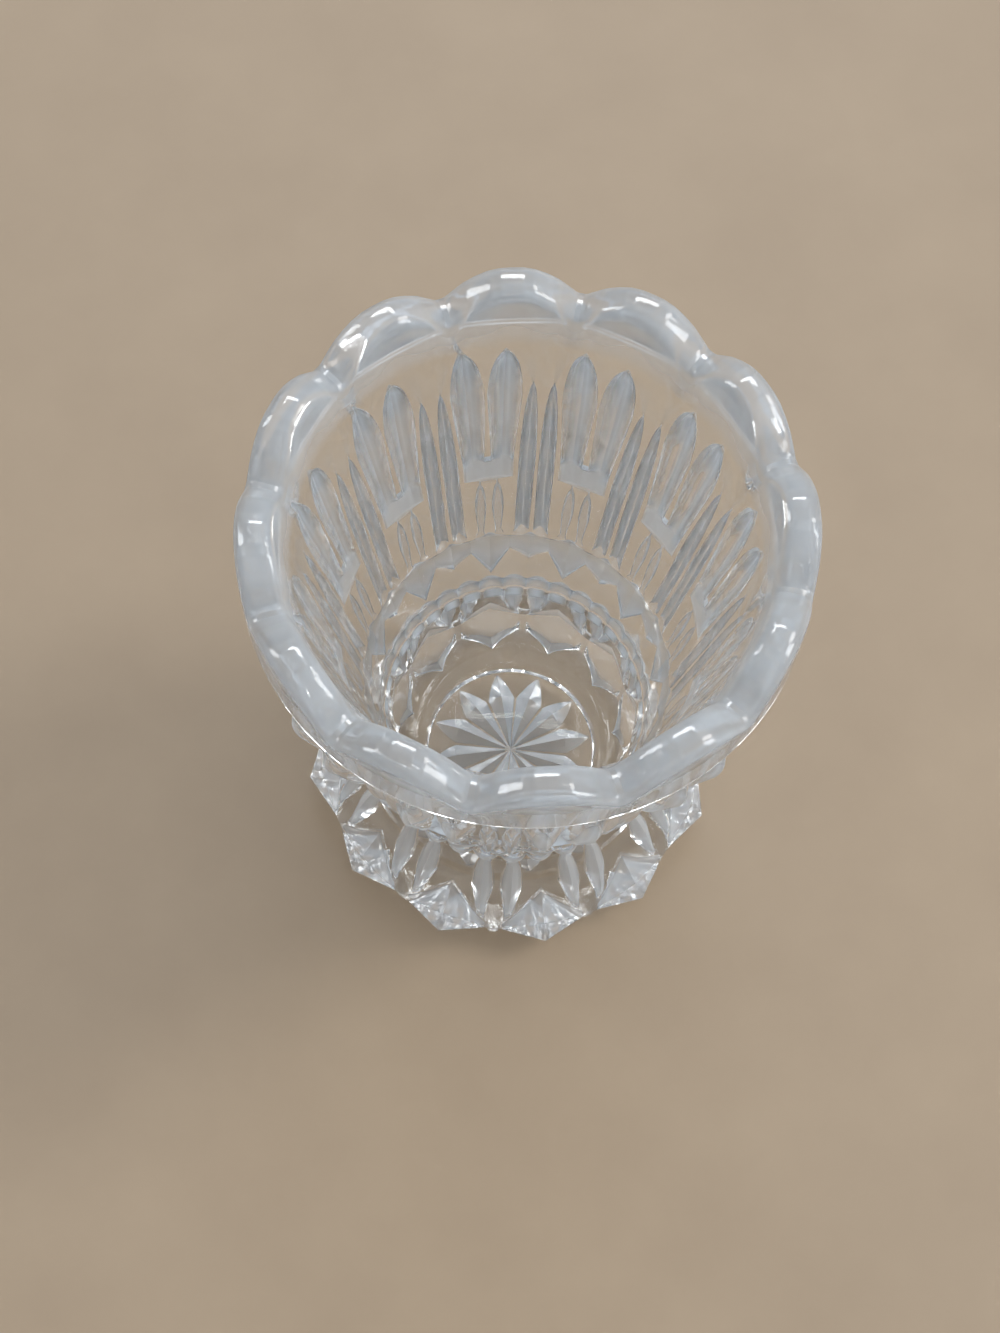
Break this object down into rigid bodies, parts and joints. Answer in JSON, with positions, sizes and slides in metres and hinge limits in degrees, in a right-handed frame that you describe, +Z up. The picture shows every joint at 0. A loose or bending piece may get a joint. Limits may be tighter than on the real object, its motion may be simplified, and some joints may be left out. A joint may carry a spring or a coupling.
{
  "type": "toothpick holder",
  "caption": "Small footed cup of clear pressed glass with a scalloped lip, petal relief, beaded waist and faceted foot, which holds toothpicks upright.",
  "frame": {"origin": "on the table, under the middle of the foot", "axes": "+Z up along the cup's axis; +X through the middle of a short petal pair and a foot point"},
  "size_m": [0.05, 0.05, 0.062],
  "materials": {
    "lip_glass": "fire-polished clear glass, rounded, faintly hazy from wear",
    "wall_glass": "smooth clear pressed glass",
    "relief_glass": "clear pressed glass, moulded facets with softened edges",
    "foot_glass": "thick clear pressed glass, ground resting ring"
  },
  "bodies": {
    "root": {"lip": "lip_glass", "bowl": "wall_glass", "short_petals": "relief_glass", "petal_knots": "relief_glass", "window_bars": "relief_glass", "long_petals": "relief_glass", "sawtooth_band": "relief_glass", "collar": "relief_glass", "foot": "foot_glass", "foot_bars": "foot_glass", "foot_points": "foot_glass", "base_star": "foot_glass"}
  },
  "joints": []
}
